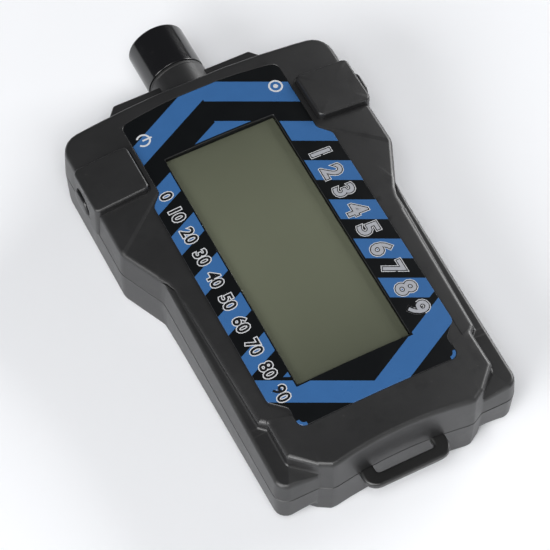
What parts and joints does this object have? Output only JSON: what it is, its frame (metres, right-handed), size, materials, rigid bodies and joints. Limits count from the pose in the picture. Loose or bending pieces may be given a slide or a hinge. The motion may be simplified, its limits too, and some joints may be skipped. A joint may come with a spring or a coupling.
{
  "type": "handheld optical tachometer",
  "caption": "Pocket optical tachometer lying on its back: waisted black case, crowned face with a tall display, side keys, lens tube at the front, lanyard loop and rear battery door.",
  "frame": {"origin": "on the surface it lies on, under the middle of its bounding box", "axes": "+Y along the case towards the lens tube, +Z out of the face with the display, +X towards the longer key"},
  "size_m": [0.0626, 0.1108, 0.0192],
  "materials": {
    "case_black": "fine moulded grain, satin",
    "label_film": "printed film in blue and black stripes, satin",
    "clear_pane": "clear polished window",
    "display": "grey-green display glass, smooth",
    "frame_white": "smooth",
    "strip_rubber": "matte",
    "board_green": "lacquered circuit board",
    "chip_black": "moulded",
    "can_steel": "drawn",
    "capacitor_sleeve": "shrunk sleeve",
    "key_black": "satin",
    "switch_black": "moulded",
    "plunger_plastic": "moulded",
    "hood_gloss": "glossy black",
    "lens_glass": "polished",
    "ring_black": "matte",
    "seal_rubber": "matte",
    "holder_black": "matte",
    "bulb_red": "clear red epoxy",
    "bulb_dark": "dark tinted epoxy",
    "lead_tin": "tinned",
    "loop_black": "satin",
    "contact_nickel": "nickel plated",
    "cell_jacket": "printed jacket",
    "screw_black": "blackened",
    "screw_zinc": "zinc plated"
  },
  "bodies": {
    "case": {"front_shell": "case_black", "rear_shell": "case_black", "face_label": "label_film", "display_pane": "clear_pane", "display_glass": "display", "display_frame": "frame_white", "contact_strips": "strip_rubber", "main_board": "board_green", "processor": "chip_black", "crystal": "can_steel", "capacitors": "capacitor_sleeve", "resistors": "chip_black", "power_switch": "switch_black", "set_switch": "switch_black", "lens_hood": "hood_gloss", "objective_lens": "lens_glass", "lens_ring": "ring_black", "hood_seal": "seal_rubber", "bulb_holder": "holder_black", "light_source": "bulb_red", "light_sensor": "bulb_dark", "bulb_leads": "lead_tin", "lanyard_loop": "loop_black", "positive_contact": "contact_nickel", "negative_contact": "contact_nickel", "bridge_contact": "contact_nickel", "battery_springs": "contact_nickel", "left_cell": "cell_jacket", "right_cell": "cell_jacket", "case_screws": "screw_black", "board_screws": "screw_zinc"},
    "door": {"battery_door": "case_black"},
    "power_button": {"power_key": "key_black"},
    "power_switch_plunger": {"power_plunger": "plunger_plastic"},
    "set_button": {"set_key": "key_black"},
    "set_switch_plunger": {"set_plunger": "plunger_plastic"}
  },
  "joints": [
    {"name": "door_hinge", "type": "hinge", "parent": "case", "child": "door", "pos_m": [0, 0.00375, 0], "axis": [1, 0, 0], "range_deg": [0, 45]},
    {"name": "power_press", "type": "slide", "parent": "case", "child": "power_button", "axis": [1, 0, 0], "range_m": [0, 0.0005], "stiffness_N_per_m": 1500},
    {"name": "power_plunge", "type": "slide", "parent": "case", "child": "power_switch_plunger", "axis": [1, 0, 0], "range_m": [0, 0.0005]},
    {"name": "set_press", "type": "slide", "parent": "case", "child": "set_button", "axis": [-1, 0, 0], "range_m": [0, 0.0005], "stiffness_N_per_m": 1500},
    {"name": "set_plunge", "type": "slide", "parent": "case", "child": "set_switch_plunger", "axis": [-1, 0, 0], "range_m": [0, 0.0005]}
  ],
  "couplings": [
    {"joint": "power_plunge", "follows": "power_press", "ratio": 1},
    {"joint": "set_plunge", "follows": "set_press", "ratio": 1}
  ]
}
